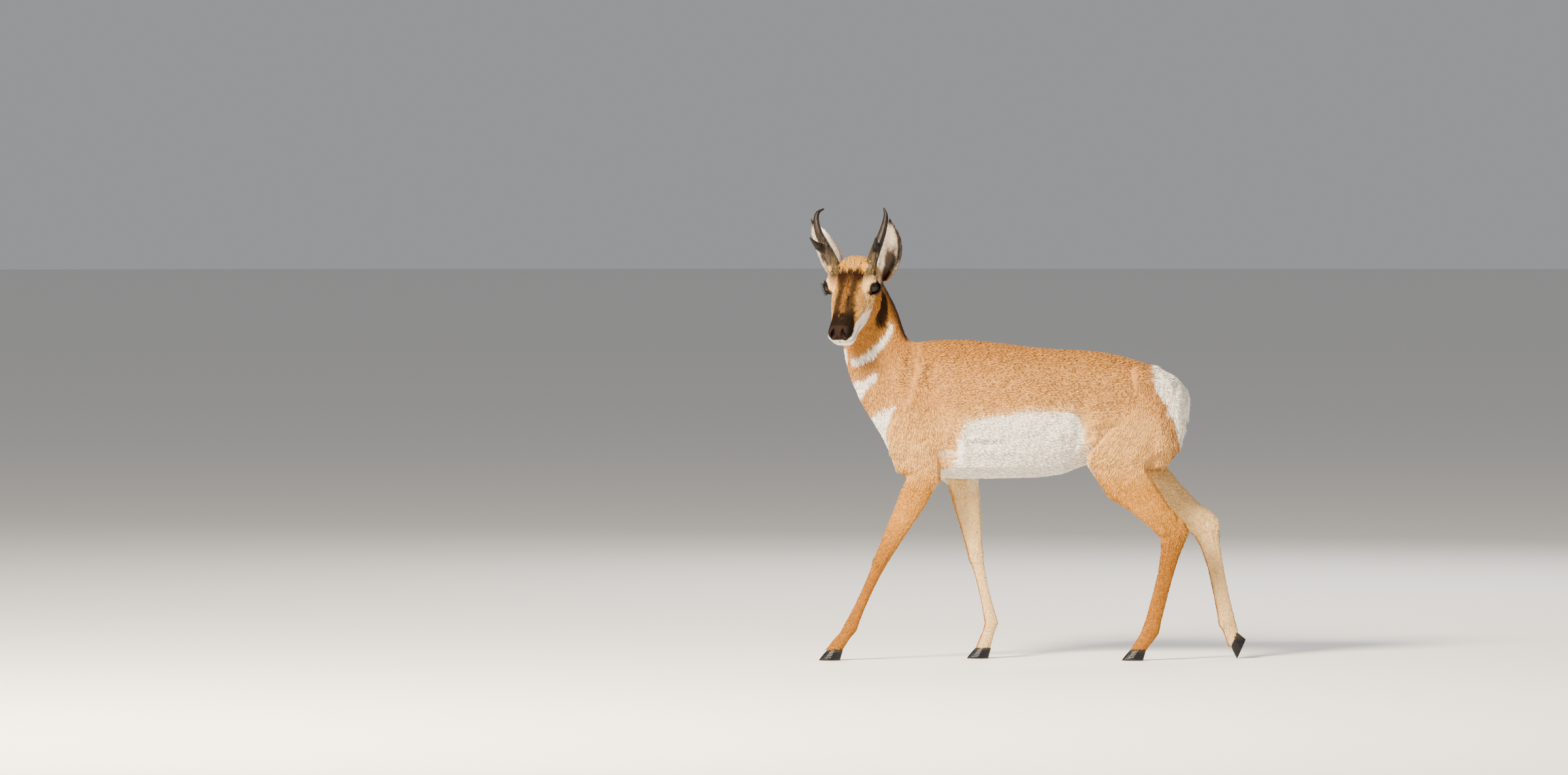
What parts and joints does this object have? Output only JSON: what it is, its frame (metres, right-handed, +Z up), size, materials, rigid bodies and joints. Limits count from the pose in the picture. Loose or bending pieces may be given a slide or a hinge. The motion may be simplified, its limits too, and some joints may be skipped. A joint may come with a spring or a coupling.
{
  "type": "pronghorn buck, life-size still model",
  "caption": "Life-size still model of a pronghorn buck, walking on the floor with its head turned to its left, for display.",
  "frame": {"origin": "middle of the animal's footprint box, on the floor", "axes": "+Z up, the animal faces -X and its left side faces -Y"},
  "size_m": [1.2072, 0.3542, 1.2489],
  "materials": {
    "tan_coat": "short flat tan hair, stood in for by fabric",
    "white_coat": "short white hair, stood in for by fabric",
    "face_coat": "fine dark brown and buff hair, stood in for by fabric",
    "leg_coat": "very short orange tan hair, stood in for by fabric",
    "horn": "dark keratin, rough at the base and smooth at the tip",
    "hoof": "smooth black keratin",
    "eye": "wet black"
  },
  "bodies": {
    "root": {"trunk": "tan_coat", "neck": "tan_coat", "head": "face_coat", "jaw": "white_coat", "foreleg_left_forearm": "leg_coat", "foreleg_left_cannon": "leg_coat", "foreleg_left_pastern": "leg_coat", "foreleg_right_forearm": "leg_coat", "foreleg_right_cannon": "leg_coat", "foreleg_right_pastern": "leg_coat", "hindleg_left_shank": "leg_coat", "hindleg_left_cannon": "leg_coat", "hindleg_left_pastern": "leg_coat", "hindleg_right_shank": "leg_coat", "hindleg_right_cannon": "leg_coat", "hindleg_right_pastern": "leg_coat", "ear_left": "tan_coat", "eye_left": "eye", "horn_left": "horn", "ear_right": "tan_coat", "eye_right": "eye", "horn_right": "horn", "tail": "white_coat", "foreleg_left_hoof_outer": "hoof", "foreleg_left_hoof_inner": "hoof", "foreleg_right_hoof_outer": "hoof", "foreleg_right_hoof_inner": "hoof", "hindleg_left_hoof_outer": "hoof", "hindleg_left_hoof_inner": "hoof", "hindleg_right_hoof_outer": "hoof", "hindleg_right_hoof_inner": "hoof"}
  },
  "joints": []
}
